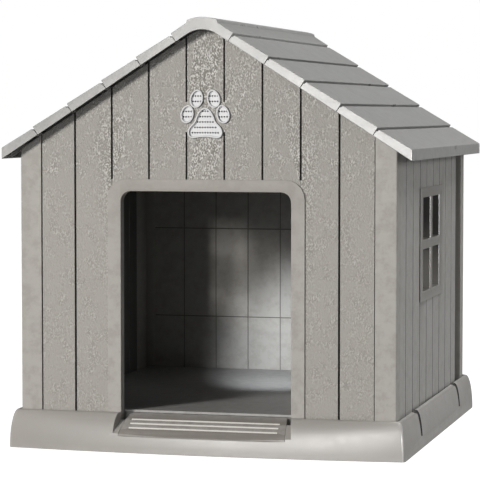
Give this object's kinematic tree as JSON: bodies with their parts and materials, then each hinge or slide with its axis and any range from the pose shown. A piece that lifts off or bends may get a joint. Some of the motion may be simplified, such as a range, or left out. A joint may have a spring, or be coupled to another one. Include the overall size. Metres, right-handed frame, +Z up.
{
  "type": "dog house",
  "caption": "Outdoor plastic dog house: boarded walls on a flared base, gable roof of lapped planks with a rounded ridge cap, open doorway, windows and a paw-shaped vent.",
  "frame": {"origin": "on the ground under the middle of the walls", "axes": "+Z up, +Y from the doorway towards the rear wall, +X to the right of a viewer who faces the doorway"},
  "size_m": [0.938, 1.007, 0.9685],
  "materials": {
    "base": "satin moulded plastic",
    "trim": "satin moulded plastic",
    "boards": "embossed wood grain",
    "side_boards": "smooth satin boards",
    "roof": "satin with fine lengthwise streaks",
    "vent": "satin off-white",
    "grip": "satin",
    "floor": "matte dark grey",
    "screw": "zinc plated"
  },
  "bodies": {
    "root": {"base_front_rail": "base", "base_rear_rail": "base", "base_side_rail_left": "base", "base_side_rail_right": "base", "post_screw_front_left": "screw", "post_screw_front_right": "screw", "post_screw_rear_left": "screw", "post_screw_rear_right": "screw", "door_threshold": "base", "threshold_grip_1": "grip", "threshold_grip_2": "grip", "threshold_grip_3": "grip", "floor_beam": "floor", "floor_panel_front": "floor", "floor_panel_rear": "floor", "floor_foot_front": "floor", "floor_foot_rear": "floor", "corner_post_front_left": "trim", "corner_post_front_right": "trim", "corner_post_rear_left": "trim", "corner_post_rear_right": "trim", "front_panel_left": "boards", "front_panel_right": "boards", "front_gable_panel": "boards", "paw_vent_pad": "vent", "paw_vent_toe_inner_left": "vent", "paw_vent_toe_outer_left": "vent", "paw_vent_toe_inner_right": "vent", "paw_vent_toe_outer_right": "vent", "door_frame": "trim", "rear_panel_left": "boards", "rear_panel_middle": "boards", "rear_panel_right": "boards", "rear_gable_panel": "boards", "side_panel_left": "side_boards", "side_panel_right": "side_boards", "window_frame_left": "trim", "window_frame_right": "trim", "window_retainer_left": "trim", "window_retainer_right": "trim", "roof_plank_left_1": "roof", "roof_plank_left_2": "roof", "roof_plank_left_3": "roof", "roof_plank_left_4": "roof", "roof_plank_left_5": "roof", "roof_plank_right_1": "roof", "roof_plank_right_2": "roof", "roof_plank_right_3": "roof", "roof_plank_right_4": "roof", "roof_plank_right_5": "roof", "ridge_cap": "roof", "cap_screw_front_left": "screw", "cap_screw_front_right": "screw", "cap_screw_rear_left": "screw", "cap_screw_rear_right": "screw"}
  },
  "joints": []
}
